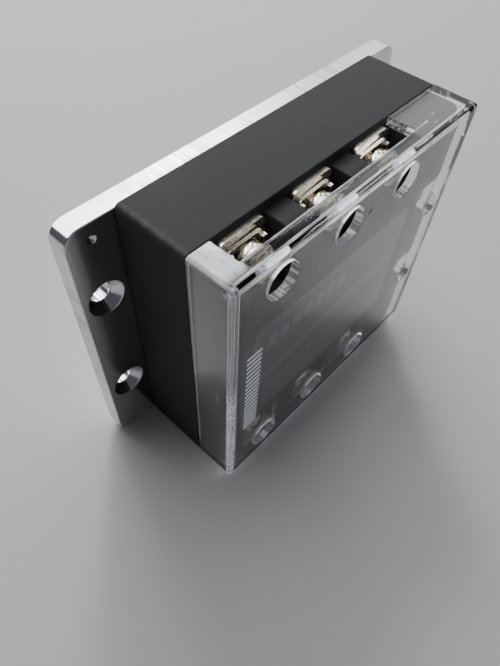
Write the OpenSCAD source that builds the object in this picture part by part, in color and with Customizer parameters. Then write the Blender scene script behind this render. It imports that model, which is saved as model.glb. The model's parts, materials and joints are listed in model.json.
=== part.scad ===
// Three-phase solid state relay for panel or heat-sink mounting.
// Millimetres. X runs along the long edge, Y from the front to the back, Z up.
// The relay stands on its lower long edge, and its front faces -Y.
// Origin: middle of the footprint, at the lowest face.

/* [Envelope] */
// Width of the housing and of the cover
body_w = 81.4; // [80:0.2:86]
// Height of the housing and of the cover
body_h = 76.4; // [75.6:0.2:80]
// Depth from the cover's front face to the plate's back face
depth = 36; // [35:0.5:40]

/* [Base plate] */
// Length of the base plate
plate_w = 105; // [104:0.5:112]
// Height of the base plate
plate_h = 74.6; // [72:0.2:75.4]
// Thickness of the base plate
plate_t = 5; // [4:0.5:6]
// Corner radius of the base plate
plate_r = 4; // [2:0.5:6]
// Distance between fixing holes along the length
hole_pitch_x = 93; // [92:0.5:94]
// Distance between fixing holes across the height
hole_pitch_z = 33; // [28:0.5:40]
// Diameter of a fixing hole
hole_d = 4.5; // [4.2:0.1:5]
// Diameter of a fixing hole's countersink at the front
sink_d = 8.8; // [8:0.1:9.4]

/* [Cover] */
// Depth of the clear terminal cover
cover_d = 12; // [11.5:0.5:13]
// Wall thickness of the clear cover
cover_t = 2.2; // [1.8:0.1:2.4]
// Width of the cover strip in front of each wire opening
strip_d = 4.75; // [4:0.25:5.5]
// Diameter of a screwdriver hole over a power screw
driver_d = 8.6; // [8.4:0.1:9]
// Diameter of a screwdriver hole over a control screw
driver_small_d = 7.2; // [6.8:0.1:7.6]

/* [Terminals] */
// Distance between neighbouring power terminals
pitch = 20.6; // [20.4:0.1:20.8]
// Place of the middle power terminal along X
middle_x = -6.6; // [-7:0.1:-6]
// Distance of the power screws from the upper or lower face
row_in = 7.4; // [7.2:0.1:7.6]
// Distance of the control screws from the middle plane across the height
control_out = 12.9; // [12.5:0.1:13.2]
// Place of the control screws along X
control_x = 34.2; // [34:0.1:34.4]
// Width of a power terminal's bay
bay_w = 14; // [13.6:0.1:14.2]
// How far a bay reaches in from the front block's edge
bay_l = 14.6; // [14.4:0.1:15]

/* [Fasteners] */
// Diameter of a power terminal screw
power_screw_d = 4; // [4:0.1:4.2]
// Diameter of a control terminal screw
control_screw_d = 3; // [3:0.1:3.2]

/* [Hidden] */

$fn = 48;
eps = 0.05;
mid_z = body_h / 2;

// Depths, counted back from the cover's front face
label_t = 0.15;
front_y = 3;
bay_y = cover_d;
plate_y = depth - plate_t;
wall = 2.3;
fit_gap = 0.2;
seam = 0.1;

// Front block of the housing, which the cover fits over
block_w = body_w - 2 * (cover_t + fit_gap);
block_h = body_h - 2 * (cover_t + fit_gap);
block_r = 3;
barrier_r = 5;
block_top = (body_h + block_h) / 2;
block_side = block_w / 2;

// Inner end of the power bays, and the ends of the cover's wire openings
bay_end_z = block_top - bay_l;
cut_left = middle_x - pitch - bay_w / 2 - 0.5;
cut_right = middle_x + pitch + bay_w / 2 - 0.5;

// Control bays, open to the right
control_bay_w = 13;
control_bay_l = 10.5;
control_cut = 2 * control_out + control_bay_w;

// Guide ribs inside the cover's right end and their grooves in the housing
rib_w = 3;
rib_h = 0.5;
rib_gap = 0.15;
rib_offsets = [29.5, -29.5];

// Terminal stack, front to back: screw head, spring washer, clamp, tab, nut
tab_t = 1.2;
clamp_t = 1.2;
spring_t = 1.9;
tab_w = 12.5;
lead_w = 8;
control_tab_w = 8.6;
control_lead_w = 5;
slot_gap = 0.2;
head_h = 3.2;
control_head_h = 2.6;
power_len = 12;
control_len = 10;
power_nut = [7, 3.2];
control_nut = [5.5, 2.4];
thread_gap = 0.05;
boss_w = 10.6;
control_boss_w = 8.6;
boss_y = 22.2;
clamp_w = 9.6;
clamp_h = 7.6;
control_clamp_w = 7.6;
control_clamp_h = 6.6;

// Inside: power stack on the plate, and the board in the centre block
substrate = [18, 1.2, 34];
chip = [9, 0.4, 9];
chip_off = 9;
strap = [5, 0.8, 27];
pin_x = 3.6;
pin_d = 0.8;
board = [63, 1.6, 34];
board_x = -4.5;
board_y = 16.6;
post_d = 3.6;
potting_y = 22.6;
bead = 1;
regulator = [4, 4.6, 4.8];

function phase_x(i) = middle_x + (i - 2) * pitch;
function row_z(row) = row > 0 ? body_h - row_in : row_in;
function control_z(i) = mid_z + (i == 1 ? 1 : -1) * control_out;

// A block given by its two corners
module span(low, high) {
    translate(low) cube([high[0] - low[0], high[1] - low[1], high[2] - low[2]]);
}

// A disc or rod along +Y that starts at depth y
module rod(x, y, z, d, len) {
    translate([x, y, z]) rotate([-90, 0, 0]) cylinder(d = d, h = len);
}

// A flat slab with round corners, thickness along +Y, centred on x and z
module slab(x, y, z, w, h, t, r) {
    span([x - w / 2 + r, y, z - h / 2], [x + w / 2 - r, y + t, z + h / 2]);
    span([x - w / 2, y, z - h / 2 + r], [x + w / 2, y + t, z + h / 2 - r]);
    for (sx = [-1, 1], sz = [-1, 1])
        rod(x + sx * (w / 2 - r), y, z + sz * (h / 2 - r), 2 * r, t);
}

// Depths above are counted from the front, so every node is set back here
module placed() {
    translate([0, -depth / 2, 0]) children();
}

// A power row's pieces are drawn for the upper row; the lower is their mirror
module in_row(row) {
    if (row > 0) children();
    else translate([0, 0, body_h]) mirror([0, 0, 1]) children();
}

module base_plate() color([0.80, 0.81, 0.82]) placed() difference() {
    slab(0, plate_y, mid_z, plate_w, plate_h, plate_t, plate_r);
    for (sx = [-1, 1], sz = [-1, 1])
        translate([sx * hole_pitch_x / 2, plate_y, mid_z + sz * hole_pitch_z / 2])
            rotate([-90, 0, 0]) {
                translate([0, 0, -1]) cylinder(d = hole_d, h = plate_t + 2);
                translate([0, 0, -eps])
                    cylinder(d1 = sink_d, d2 = hole_d, h = (sink_d - hole_d) / 2);
            }
    // Punch mark near the upper left corner
    translate([-46.6, plate_y - eps, 71.5]) rotate([-90, 0, 0])
        cylinder(d1 = 1.3, d2 = 0.5, h = 0.6);
}

// Front block with its two front vertical edges rounded
module front_block() {
    span([-block_side, front_y + block_r, body_h - block_top], [block_side, bay_y + 1, block_top]);
    span([-block_side + block_r, front_y, body_h - block_top],
         [block_side - block_r, front_y + block_r + 1, block_top]);
    for (sx = [-1, 1])
        translate([sx * (block_side - block_r), front_y + block_r, body_h - block_top])
            cylinder(r = block_r, h = block_h);
}

// Space cut for one power terminal, from the block's upper face inwards
module power_bay(x) {
    span([x - bay_w / 2, front_y - 1, bay_end_z], [x + bay_w / 2, bay_y, block_top + 1]);
}

// Rounds the upper front corner of the barriers between the power bays
module barrier_round() {
    difference() {
        span([phase_x(1), front_y - 1, block_top - barrier_r],
             [phase_x(3), front_y + barrier_r, block_top + 1]);
        translate([phase_x(1) - 1, front_y + barrier_r, block_top - barrier_r])
            rotate([0, 90, 0]) cylinder(r = barrier_r, h = 2 * pitch + 2);
    }
}

// Slot for the lead, nut pocket and screw hole below one power tab
module power_seat(x, z) {
    span([x - (lead_w + slot_gap) / 2, bay_y - eps, bay_end_z + 0.7],
         [x + (lead_w + slot_gap) / 2, bay_y + wall + 1, bay_end_z + 2.3]);
    nut_seat(x, z, power_nut, power_screw_d);
}

module nut_seat(x, z, nut, screw_d) {
    half = nut[0] / 2 + 0.1;
    span([x - half, bay_y - eps, z - half], [x + half, bay_y + nut[1] + 0.1, z + half]);
    rod(x, bay_y, z, screw_d + 0.6, boss_y - 1 - bay_y);
}

module control_bay(z) {
    span([block_side - control_bay_l, front_y - 1, z - control_bay_w / 2],
         [block_side + 1, bay_y, z + control_bay_w / 2]);
}

module control_seat(z) {
    span([block_side - control_bay_l + 0.5, bay_y - eps, z - (control_lead_w + slot_gap) / 2],
         [block_side - control_bay_l + 1.9, bay_y + wall + 1, z + (control_lead_w + slot_gap) / 2]);
    nut_seat(control_x, z, control_nut, control_screw_d);
}

// Outside of the moulding, before anything is cut away
module housing_body() {
    span([-body_w / 2, bay_y, 0], [body_w / 2, plate_y, body_h]);
    front_block();
}

// Hollow inside: deep behind the centre block, shallow behind the bays
module housing_hollow() {
    span([-body_w / 2 + wall, bay_y + wall, wall],
         [body_w / 2 - wall, plate_y + 1, body_h - wall]);
    span([-block_side + wall, front_y + wall, body_h - bay_end_z + wall],
         [block_side - control_bay_l - wall, bay_y + wall + 1, bay_end_z - wall]);
}

module boss(x, z, w) {
    half = w / 2;
    span([x - half, bay_y + wall - 1, z - half], [x + half, boss_y, z + half]);
}

module board_posts() {
    for (sx = [-1, 1], sz = [-1, 1])
        rod(board_x + sx * (board[0] - post_d) / 2, front_y + wall - 1,
            mid_z + sz * (board[2] - post_d) / 2, post_d, board_y - front_y - wall + 1);
}

module guide_groove(dz) {
    half = rib_w / 2 + rib_gap;
    span([block_side - rib_h, front_y - 1, mid_z + dz - half],
         [block_side + 1, bay_y, mid_z + dz + half]);
}

module bead_ring(size, y_low, y_high) {
    out_x = body_w / 2 - 0.6;
    out_z = body_h / 2 - 1.1;
    difference() {
        span([-out_x, y_low, mid_z - out_z], [out_x, y_high, mid_z + out_z]);
        span([-out_x + size, y_low - 1, mid_z - out_z + size],
             [out_x - size, y_high + 1, mid_z + out_z - size]);
    }
}

module housing() color([0.10, 0.10, 0.11]) placed() difference() {
    union() {
        difference() {
            housing_body();
            housing_hollow();
        }
        for (i = [1:3], row = [-1, 1]) in_row(row) boss(phase_x(i), row_z(1), boss_w);
        for (i = [1:2]) boss(control_x + 0.5, control_z(i), control_boss_w);
        board_posts();
    }
    for (i = [1:3], row = [-1, 1]) in_row(row) {
        power_bay(phase_x(i));
        power_seat(phase_x(i), row_z(1));
    }
    for (row = [-1, 1]) in_row(row) barrier_round();
    for (i = [1:2]) {
        control_bay(control_z(i));
        control_seat(control_z(i));
    }
    for (dz = rib_offsets) guide_groove(dz);
    bead_ring(bead, plate_y - bead, plate_y + 1);
}

module seal_bead() color([0.75, 0.75, 0.73]) placed() bead_ring(bead, plate_y - bead, plate_y);

module cover_rib(dz) {
    span([block_side - rib_h + rib_gap, front_y + 1, mid_z + dz - rib_w / 2],
         [body_w / 2 - cover_t + eps, bay_y - 1, mid_z + dz + rib_w / 2]);
}

module terminal_cover() color([0.80, 0.88, 0.95, 0.35]) placed() {
    difference() {
        span([-body_w / 2, 0, 0], [body_w / 2, cover_d - seam, body_h]);
        span([-body_w / 2 + cover_t, cover_t, cover_t],
             [body_w / 2 - cover_t, cover_d + 1, body_h - cover_t]);
        for (row = [-1, 1]) in_row(row) {
            span([cut_left, strip_d, body_h - cover_t - 1], [cut_right, cover_d + 1, body_h + 1]);
            for (i = [1:3]) rod(phase_x(i), -1, row_z(1), driver_d, cover_t + 2);
        }
        span([body_w / 2 - cover_t - 1, strip_d, mid_z - control_cut / 2],
             [body_w / 2 + 1, cover_d + 1, mid_z + control_cut / 2]);
        for (i = [1:2]) rod(control_x, -1, control_z(i), driver_small_d, cover_t + 2);
    }
    for (dz = rib_offsets) cover_rib(dz);
}

module label_panel() color([0.16, 0.17, 0.20]) placed()
    slab(-5, front_y - label_t, mid_z, 56, 36, label_t, 1.5);

// Tab in the bay, leg back through the housing, and foot on the substrate
module power_tab(x) {
    top = block_top + 0.6;
    leg_z = bay_end_z + 0.8;
    foot_y = plate_y - substrate[1] - tab_t;
    difference() {
        union() {
            slab(x, bay_y - tab_t, (top + leg_z) / 2, tab_w, top - leg_z, tab_t, 1.5);
            translate([x - lead_w / 2, 0, 0]) {
                span([0, bay_y - tab_t, leg_z], [lead_w, foot_y + tab_t, leg_z + tab_t]);
                span([0, foot_y, mid_z + substrate[2] / 2 - 3], [lead_w, foot_y + tab_t, leg_z + tab_t]);
            }
        }
        rod(x, bay_y - tab_t - 1, row_z(1), power_screw_d + 0.4, tab_t + 2);
    }
}

// Control tab: its leg reaches the circuit board's back face
module control_tab(z) {
    leg_x = block_side - control_bay_l + 0.6;
    foot_y = board_y + board[1];
    top = block_side - 0.2;
    difference() {
        union() {
            slab((leg_x + top) / 2, bay_y - tab_t, z, top - leg_x, control_tab_w, tab_t, 1);
            translate([0, 0, z - control_lead_w / 2]) {
                span([leg_x, bay_y - tab_t, 0], [leg_x + tab_t, foot_y + 1, control_lead_w]);
                span([board_x + board[0] / 2 - 4, foot_y, 0], [leg_x + tab_t, foot_y + 1, control_lead_w]);
            }
        }
        rod(control_x, bay_y - tab_t - 1, z, control_screw_d + 0.4, tab_t + 2);
    }
}

// Clamp plate whose two side lips are turned towards the front
module clamp_plate(x, z, w, h, screw_d) {
    y = bay_y - tab_t - clamp_t;
    lip = 1;
    difference() {
        union() {
            slab(x, y, z, w, h, clamp_t, 1);
            for (sx = [-1, 1])
                span([x + sx * (w - lip) / 2 - lip / 2, y - lip, z - h / 2 + 1],
                     [x + sx * (w - lip) / 2 + lip / 2, y + clamp_t, z + h / 2 - 1]);
        }
        rod(x, y - lip - 1, z, screw_d + 0.1, clamp_t + lip + 2);
    }
}

// Split ring
module spring_ring(x, z, screw_d, out_d) {
    translate([x, bay_y - tab_t - clamp_t - spring_t, z]) rotate([-90, 0, 0]) rotate([0, 0, 20])
        rotate_extrude(angle = 345)
            translate([screw_d / 2 + 0.05, 0]) square([(out_d - screw_d) / 2 - 0.05, spring_t]);
}

// Pan head with a cross slot, and a plain shank
module screw(x, z, d, head_d, h, len) {
    y = bay_y - tab_t - clamp_t - spring_t;
    edge = 0.55 * h;
    slot_w = 0.26 * d;
    translate([x, y, z]) rotate([90, 0, 0]) difference() {
        union() {
            rotate_extrude() polygon(concat([[0, 0], [head_d / 2, 0]],
                [for (a = [0:15:90]) [head_d / 2 - (h - edge) * (1 - cos(a)), edge + (h - edge) * sin(a)]],
                [[0, h]]));
            translate([0, 0, -len]) cylinder(d = d - 2 * thread_gap, h = len + eps);
        }
        for (turn = [0, 90]) rotate([0, 0, turn + 30])
            translate([-0.32 * head_d, -slot_w / 2, 0.45 * h]) cube([0.64 * head_d, slot_w, h]);
    }
}

module square_nut(x, z, nut, screw_d) {
    difference() {
        span([x - nut[0] / 2, bay_y, z - nut[0] / 2], [x + nut[0] / 2, bay_y + nut[1], z + nut[0] / 2]);
        rod(x, bay_y - 1, z, screw_d, nut[1] + 2);
    }
}

module power_terminal(row, i) color([0.83, 0.80, 0.72]) placed() in_row(row) power_tab(phase_x(i));
module control_terminal(i) color([0.83, 0.80, 0.72]) placed() control_tab(control_z(i));

module power_clamp(row, i) color([0.86, 0.84, 0.78]) placed()
    in_row(row) clamp_plate(phase_x(i), row_z(1), clamp_w, clamp_h, power_screw_d);
module control_clamp(i) color([0.86, 0.84, 0.78]) placed()
    clamp_plate(control_x, control_z(i), control_clamp_w, control_clamp_h, control_screw_d);

module power_spring(row, i) color([0.78, 0.76, 0.70]) placed()
    spring_ring(phase_x(i), row_z(row), power_screw_d, 7);
module control_spring(i) color([0.78, 0.76, 0.70]) placed()
    spring_ring(control_x, control_z(i), control_screw_d, 5.4);

module power_screw(row, i) color([0.88, 0.86, 0.80]) placed()
    screw(phase_x(i), row_z(row), power_screw_d, 8, head_h, power_len);
module control_screw(i) color([0.88, 0.86, 0.80]) placed()
    screw(control_x, control_z(i), control_screw_d, 6.2, control_head_h, control_len);

module power_nuts() color([0.70, 0.68, 0.60]) placed()
    for (i = [1:3], row = [-1, 1]) square_nut(phase_x(i), row_z(row), power_nut, power_screw_d);
module control_nuts() color([0.70, 0.68, 0.60]) placed()
    for (i = [1:2]) square_nut(control_x, control_z(i), control_nut, control_screw_d);

module ceramic(i) color([0.93, 0.93, 0.90]) placed()
    span([phase_x(i) - substrate[0] / 2, plate_y - substrate[1], mid_z - substrate[2] / 2],
         [phase_x(i) + substrate[0] / 2, plate_y, mid_z + substrate[2] / 2]);

module chip_pair(i) color([0.35, 0.36, 0.42]) placed()
    for (sz = [-1, 1])
        translate([phase_x(i) - chip[0] / 2, plate_y - substrate[1] - chip[1],
                   mid_z + sz * chip_off - chip[2] / 2]) cube(chip);

module copper_bridge(i) color([0.80, 0.50, 0.30]) placed()
    translate([phase_x(i) - strap[0] / 2, plate_y - substrate[1] - chip[1] - strap[1],
               mid_z - strap[2] / 2]) cube(strap);

module gate_pins() color([0.85, 0.83, 0.78]) placed()
    for (i = [1:3], sz = [-1, 1])
        rod(phase_x(i) + pin_x, board_y - 0.8, mid_z + sz * chip_off, pin_d,
            plate_y - substrate[1] - chip[1] - board_y + 0.8);

module circuit_board() color([0.10, 0.38, 0.22]) placed() difference() {
    span([board_x - board[0] / 2, board_y, mid_z - board[2] / 2],
         [board_x + board[0] / 2, board_y + board[1], mid_z + board[2] / 2]);
    for (i = [1:3], sz = [-1, 1])
        rod(phase_x(i) + pin_x, board_y - 1, mid_z + sz * chip_off, pin_d + 0.1, board[1] + 2);
}

module optocoupler(i) color([0.92, 0.92, 0.90]) placed()
    span([phase_x(i) - 4.3, board_y - 3.4, mid_z - 3.2], [phase_x(i) + 4.3, board_y, mid_z + 3.2]);

module snubber_capacitors() color([0.30, 0.42, 0.62]) placed()
    for (i = [1:3])
        span([phase_x(i) - 5, board_y - 9, mid_z - 15], [phase_x(i) + 2.6, board_y, mid_z - 5]);

module snubber_resistors() color([0.72, 0.62, 0.45]) placed()
    for (i = [1:3]) translate([phase_x(i) - 4.5, board_y - 1.6, mid_z + 5.6])
        rotate([0, 90, 0]) cylinder(d = 3.2, h = 9);

module input_regulator() color([0.08, 0.08, 0.09]) placed()
    translate([20.6, board_y - regulator[1], mid_z - regulator[2] / 2]) cube(regulator);

module potting() color([0.14, 0.14, 0.16]) difference() {
    placed() span([-body_w / 2 + wall, potting_y, wall], [body_w / 2 - wall, plate_y, body_h - wall]);
    for (i = [1:3]) {
        ceramic(i);
        chip_pair(i);
        copper_bridge(i);
        for (row = [-1, 1]) power_terminal(row, i);
    }
    gate_pins();
}

base_plate();
housing();
terminal_cover();
label_panel();
seal_bead();
potting();
power_terminal(1, 1);  // line_terminal_1
power_terminal(1, 2);  // line_terminal_2
power_terminal(1, 3);  // line_terminal_3
power_terminal(-1, 1);  // load_terminal_1
power_terminal(-1, 2);  // load_terminal_2
power_terminal(-1, 3);  // load_terminal_3
control_terminal(1);  // control_terminal_1
control_terminal(2);  // control_terminal_2
power_clamp(1, 1);  // line_clamp_1
power_clamp(1, 2);  // line_clamp_2
power_clamp(1, 3);  // line_clamp_3
power_clamp(-1, 1);  // load_clamp_1
power_clamp(-1, 2);  // load_clamp_2
power_clamp(-1, 3);  // load_clamp_3
control_clamp(1);  // control_clamp_1
control_clamp(2);  // control_clamp_2
power_spring(1, 1);  // line_spring_1
power_spring(1, 2);  // line_spring_2
power_spring(1, 3);  // line_spring_3
power_spring(-1, 1);  // load_spring_1
power_spring(-1, 2);  // load_spring_2
power_spring(-1, 3);  // load_spring_3
control_spring(1);  // control_spring_1
control_spring(2);  // control_spring_2
power_screw(1, 1);  // line_screw_1
power_screw(1, 2);  // line_screw_2
power_screw(1, 3);  // line_screw_3
power_screw(-1, 1);  // load_screw_1
power_screw(-1, 2);  // load_screw_2
power_screw(-1, 3);  // load_screw_3
control_screw(1);  // control_screw_1
control_screw(2);  // control_screw_2
power_nuts();
control_nuts();
ceramic(1);  // substrate_1
ceramic(2);  // substrate_2
ceramic(3);  // substrate_3
chip_pair(1);  // thyristors_1
chip_pair(2);  // thyristors_2
chip_pair(3);  // thyristors_3
copper_bridge(1);  // bridge_1
copper_bridge(2);  // bridge_2
copper_bridge(3);  // bridge_3
gate_pins();
circuit_board();
optocoupler(1);  // optocoupler_1
optocoupler(2);  // optocoupler_2
optocoupler(3);  // optocoupler_3
snubber_capacitors();
snubber_resistors();
input_regulator();
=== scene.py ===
"""Three-phase solid state relay: its looks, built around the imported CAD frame."""

import json
import logging
import math
import random
from dataclasses import dataclass, field, replace
from enum import Enum
from typing import Callable, Iterable, Sequence

import bmesh
import bpy
from mathutils import Matrix, Vector

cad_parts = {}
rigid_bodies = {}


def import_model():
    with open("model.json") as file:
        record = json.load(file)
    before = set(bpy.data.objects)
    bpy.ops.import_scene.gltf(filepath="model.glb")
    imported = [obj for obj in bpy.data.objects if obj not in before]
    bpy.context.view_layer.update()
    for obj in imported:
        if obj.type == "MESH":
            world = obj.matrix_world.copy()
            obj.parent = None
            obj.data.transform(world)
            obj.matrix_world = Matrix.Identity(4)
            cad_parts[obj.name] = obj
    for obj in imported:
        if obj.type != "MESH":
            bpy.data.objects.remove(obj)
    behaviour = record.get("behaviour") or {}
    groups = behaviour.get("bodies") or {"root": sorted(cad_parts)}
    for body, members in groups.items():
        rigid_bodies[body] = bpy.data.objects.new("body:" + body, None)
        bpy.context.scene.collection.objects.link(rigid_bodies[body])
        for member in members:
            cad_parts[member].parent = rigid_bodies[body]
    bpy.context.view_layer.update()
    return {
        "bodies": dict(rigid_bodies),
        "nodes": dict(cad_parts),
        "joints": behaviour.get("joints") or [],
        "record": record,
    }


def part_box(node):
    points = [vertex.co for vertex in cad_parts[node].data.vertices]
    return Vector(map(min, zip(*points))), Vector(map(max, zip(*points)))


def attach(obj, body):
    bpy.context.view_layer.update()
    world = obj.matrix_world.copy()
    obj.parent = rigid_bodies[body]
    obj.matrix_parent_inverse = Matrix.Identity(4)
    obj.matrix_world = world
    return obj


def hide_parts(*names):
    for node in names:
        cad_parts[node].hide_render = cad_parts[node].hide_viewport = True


LOG = logging.getLogger("relay")
MM = 0.001
UP = Vector((0, 0, 1))
FRONT = Vector((0, -1, 0))
RIGHT = Vector((1, 0, 0))
NEAR = 0.01 * MM
Colour = tuple[float, float, float, float]
EdgeTest = Callable[[Vector, Vector], bool]


class Row(Enum):
    """The three groups of screw terminals."""

    LINE = "line"
    LOAD = "load"
    CONTROL = "control"


class Grain(Enum):
    """How a metal's fine scratches run."""

    SHEARED = "across the thickness"
    TUMBLED = "in all directions"


# ---------------------------------------------------------------- shader maths


class Value:
    """A number in a shader tree; arithmetic on it adds Math nodes."""

    def __init__(self, tree: "ShaderTree", socket: bpy.types.NodeSocket) -> None:
        """Wraps one output socket of a tree."""
        self.tree = tree
        self.socket = socket

    def maths(self, operation: str, *others: "Value | float", flip: bool = False) -> "Value":
        """Adds a Math node.

        Args:
            operation: The Math node's operation.
            others: The other operands.
            flip: True puts this value second.

        Returns:
            The node's result.
        """
        operands = [self, *others]
        if flip:
            operands.reverse()
        sockets = {index: operand for index, operand in enumerate(operands)}
        return self.tree.value("ShaderNodeMath", {"operation": operation}, sockets)

    def __add__(self, other: "Value | float") -> "Value":
        """Sum."""
        return self.maths("ADD", other)

    __radd__ = __add__

    def __mul__(self, other: "Value | float") -> "Value":
        """Product."""
        return self.maths("MULTIPLY", other)

    __rmul__ = __mul__

    def __sub__(self, other: "Value | float") -> "Value":
        """Difference."""
        return self.maths("SUBTRACT", other)

    def __rsub__(self, other: "Value | float") -> "Value":
        """Difference with this value second."""
        return self.maths("SUBTRACT", other, flip=True)

    def __truediv__(self, other: "Value | float") -> "Value":
        """Quotient."""
        return self.maths("DIVIDE", other)

    def __abs__(self) -> "Value":
        """Size without sign."""
        return self.maths("ABSOLUTE")

    def least(self, other: "Value | float") -> "Value":
        """The smaller of two values."""
        return self.maths("MINIMUM", other)

    def most(self, other: "Value | float") -> "Value":
        """The larger of two values."""
        return self.maths("MAXIMUM", other)

    def fade(self, low: float, high: float) -> "Value":
        """Goes smoothly from 0 at low to 1 at high.

        Args:
            low: The value that gives 0.
            high: The value that gives 1; it may be under low.

        Returns:
            The smooth step.
        """
        settings = {"interpolation_type": "SMOOTHSTEP", "clamp": True}
        if high < low:
            return 1 - self.fade(high, low)
        sockets = {"Value": self, "From Min": low, "From Max": high}
        return self.tree.value("ShaderNodeMapRange", settings, sockets)

    def within(self, centre: float, half: float, soft: float) -> "Value":
        """1 inside a band, 0 outside, with soft borders.

        Args:
            centre: Middle of the band.
            half: Half its width.
            soft: Width of its border.

        Returns:
            The band's mask.
        """
        return abs(self - centre).fade(half + soft / 2, half - soft / 2)


class ShaderTree:
    """A material's node tree, with the few moves that the finishes need."""

    def __init__(self, name: str) -> None:
        """Makes a material with an empty tree.

        Args:
            name: The material's name.
        """
        self.material = bpy.data.materials.new(name)
        self.material.use_nodes = True
        self.nodes = self.material.node_tree.nodes
        self.links = self.material.node_tree.links
        self.nodes.clear()
        self._place: tuple[Value, Value, Value] | None = None

    def add(self, kind: str, settings: dict | None = None, sockets: dict | None = None) -> bpy.types.Node:
        """Adds one node.

        Args:
            kind: The node's type.
            settings: Its own settings.
            sockets: Values, colours or links for its inputs, by name or number.

        Returns:
            The node.
        """
        node = self.nodes.new(kind)
        for key, setting in (settings or {}).items():
            setattr(node, key, setting)
        for key, given in (sockets or {}).items():
            target = node.inputs[key]
            if isinstance(given, Value):
                self.links.new(given.socket, target)
            elif isinstance(given, bpy.types.NodeSocket):
                self.links.new(given, target)
            else:
                target.default_value = given
        return node

    def value(self, kind: str, settings: dict | None = None, sockets: dict | None = None) -> Value:
        """Adds a node and wraps its first output as a number."""
        return Value(self, self.add(kind, settings, sockets).outputs[0])

    def place(self) -> tuple[Value, Value, Value]:
        """The point's own X, Y and Z, in metres, in the row frame.

        Returns:
            One value per axis.
        """
        if self._place is None:
            where = self.add("ShaderNodeTexCoord").outputs["Object"]
            split = self.add("ShaderNodeSeparateXYZ", None, {0: where})
            self._place = tuple(Value(self, split.outputs[i]) for i in range(3))
        return self._place

    def stretched(self, scale: Sequence[float]) -> bpy.types.NodeSocket:
        """The point's place, stretched by one factor per axis."""
        where = self.add("ShaderNodeTexCoord").outputs["Object"]
        return self.add("ShaderNodeMapping", None, {"Vector": where, "Scale": tuple(scale)}).outputs[0]

    def noise(self, scale: float, detail: float = 2.0, stretch: Sequence[float] = (1, 1, 1),
              rough: float = 0.5) -> Value:
        """A noise pattern.

        Args:
            scale: Cells per metre.
            detail: Octaves.
            stretch: Factor per axis, under 1 for streaks along that axis.
            rough: Weight of the finer octaves.

        Returns:
            The pattern, about 0.5 in the middle.
        """
        sockets = {"Vector": self.stretched(stretch), "Scale": scale, "Detail": detail, "Roughness": rough}
        return self.value("ShaderNodeTexNoise", None, sockets)

    def mix(self, mask: Value | float, first: object, second: object) -> bpy.types.NodeSocket:
        """Blends two colours by a mask."""
        return self.add("ShaderNodeMix", {"data_type": "RGBA"}, {0: mask, 6: first, 7: second}).outputs[2]

    def blend(self, mask: "Value | bpy.types.NodeSocket", first: bpy.types.NodeSocket,
              second: bpy.types.NodeSocket) -> bpy.types.NodeSocket:
        """Blends two shaders by a mask."""
        return self.add("ShaderNodeMixShader", None, {0: mask, 1: first, 2: second}).outputs[0]

    def bump(self, height: Value, depth: float, strength: float = 1.0,
             under: bpy.types.NodeSocket | None = None) -> bpy.types.NodeSocket:
        """A Bump node's normal.

        Args:
            height: The pattern.
            depth: What a step of 1 in the pattern measures, in metres.
            strength: Share of the effect.
            under: Another bump to add to.

        Returns:
            The normal.
        """
        sockets = {"Height": height, "Distance": depth, "Strength": strength}
        if under is not None:
            sockets["Normal"] = under
        return self.add("ShaderNodeBump", None, sockets).outputs[0]

    def surface(self, shader: bpy.types.NodeSocket) -> bpy.types.Material:
        """Ends the tree with its output and returns the material."""
        self.add("ShaderNodeOutputMaterial", None, {"Surface": shader})
        return self.material

    def principled(self, **sockets: object) -> bpy.types.NodeSocket:
        """A Principled shader; a socket's name is written with underscores."""
        named = {key.replace("_", " "): given for key, given in sockets.items()}
        return self.add("ShaderNodeBsdfPrincipled", None, named).outputs[0]


def grey(level: float) -> Colour:
    """A neutral colour."""
    return (level, level, level, 1.0)


def rgb(red: float, green: float, blue: float) -> Colour:
    """An opaque colour."""
    return (red, green, blue, 1.0)


# --------------------------------------------------------------------- finishes


@dataclass(frozen=True)
class BareAluminium:
    """Rolled plate with a bright face, sawn edges, hairline scratches and dull smears."""

    low: Vector
    high: Vector
    name: str = "plate_aluminium"
    colour: Colour = rgb(0.78, 0.79, 0.80)
    dull: Colour = rgb(0.46, 0.47, 0.49)
    roughness: float = 0.13

    def material(self) -> bpy.types.Material:
        """Builds the material.

        Returns:
            The material.
        """
        tree = ShaderTree(self.name)
        x, _, z = tree.place()
        end = (self.high.x - self.low.x) / 2 - abs(x - (self.low.x + self.high.x) / 2)
        brim = (self.high.z - self.low.z) / 2 - abs(z - (self.low.z + self.high.z) / 2)
        outline = end.least(brim).fade(0.0004, 0.00015)
        sawn = tree.noise(1500, 3, (1, 0.06, 1), 0.6)
        smear = tree.noise(75, 3, (1, 1, 0.25))
        hair = tree.noise(420, 3, (0.05, 1, 1), 0.55).fade(0.655, 0.675)
        nicks = tree.noise(900, 2).fade(0.70, 0.73) * outline
        patchy = tree.noise(40, 2).fade(0.40, 0.60)
        lines = outline * sawn.fade(0.40, 0.62) * (0.25 + patchy * 0.75)
        shade = tree.mix((smear.fade(0.35, 0.75) * 0.4).most(lines * 0.9), self.colour, self.dull)
        rough = self.roughness + smear.fade(0.3, 0.8) * 0.10 + hair * 0.10 + outline * (0.12 + sawn * 0.16)
        relief = outline * sawn * 0.7 + nicks * 0.8 + hair * 0.25
        normal = tree.bump(relief, 0.00004, 0.6)
        return tree.surface(tree.principled(Base_Color=shade, Metallic=1.0, Roughness=rough, Normal=normal))


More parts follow.
